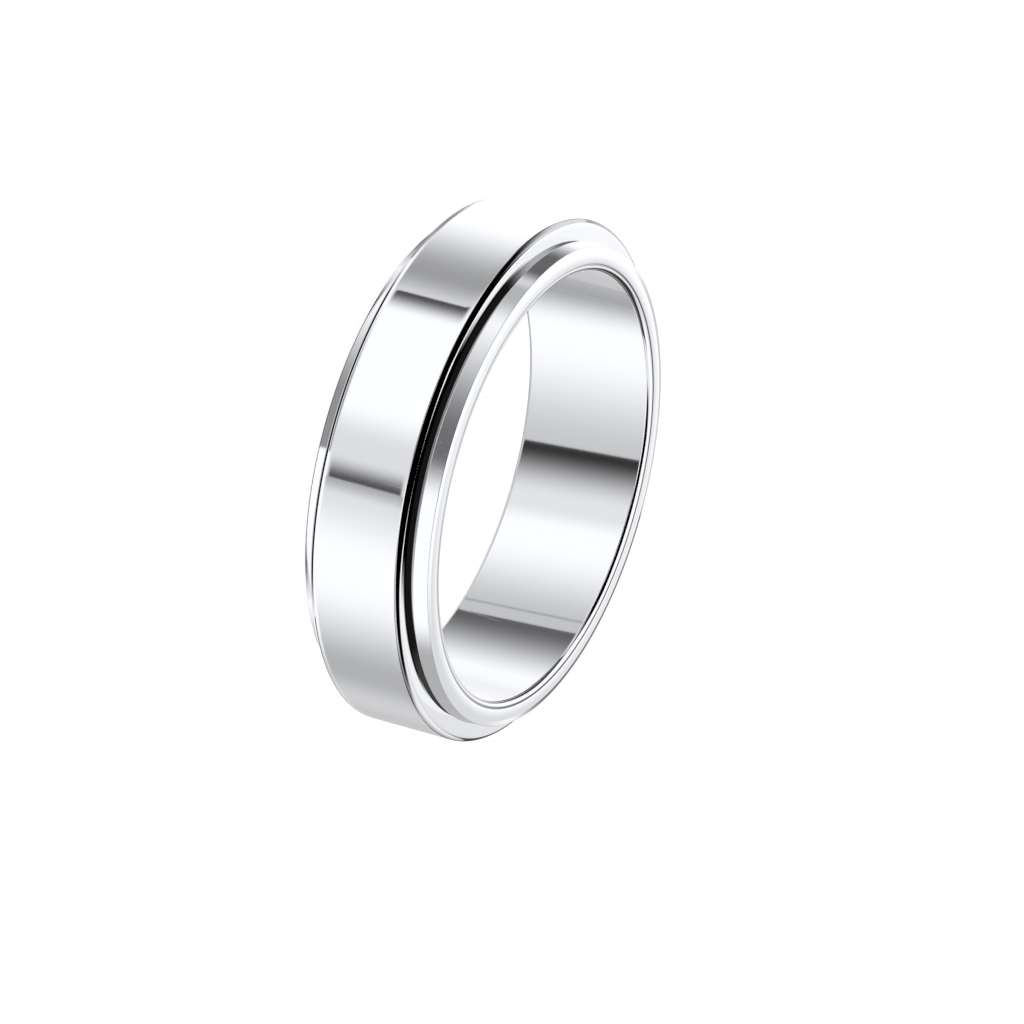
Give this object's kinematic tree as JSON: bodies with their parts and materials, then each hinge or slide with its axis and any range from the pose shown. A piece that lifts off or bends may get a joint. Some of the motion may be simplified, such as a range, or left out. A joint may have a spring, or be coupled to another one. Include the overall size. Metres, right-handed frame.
{
  "type": "spinner ring",
  "caption": "Plain hoop ring with a flanged channel round its outside, in which a loose polished band spins freely.",
  "frame": {"origin": "on the ring's axis, in the plane of the lower face that the ring rests on", "axes": "+Z along the ring's axis, from the face it rests on to the face shown in the picture; the ring is round about it"},
  "size_m": [0.023, 0.023, 0.006],
  "materials": {
    "inner_steel": "mirror-polished stainless steel",
    "spinner_steel": "mirror-polished stainless steel"
  },
  "bodies": {
    "inner_band": {"inner_band": "inner_steel"},
    "spinner_band": {"spinner_band": "spinner_steel"}
  },
  "joints": [
    {"name": "spinner_spin", "type": "hinge", "parent": "inner_band", "child": "spinner_band", "pos_m": [0, 0, 0.003], "axis": [0, 0, 1], "continuous": true}
  ]
}
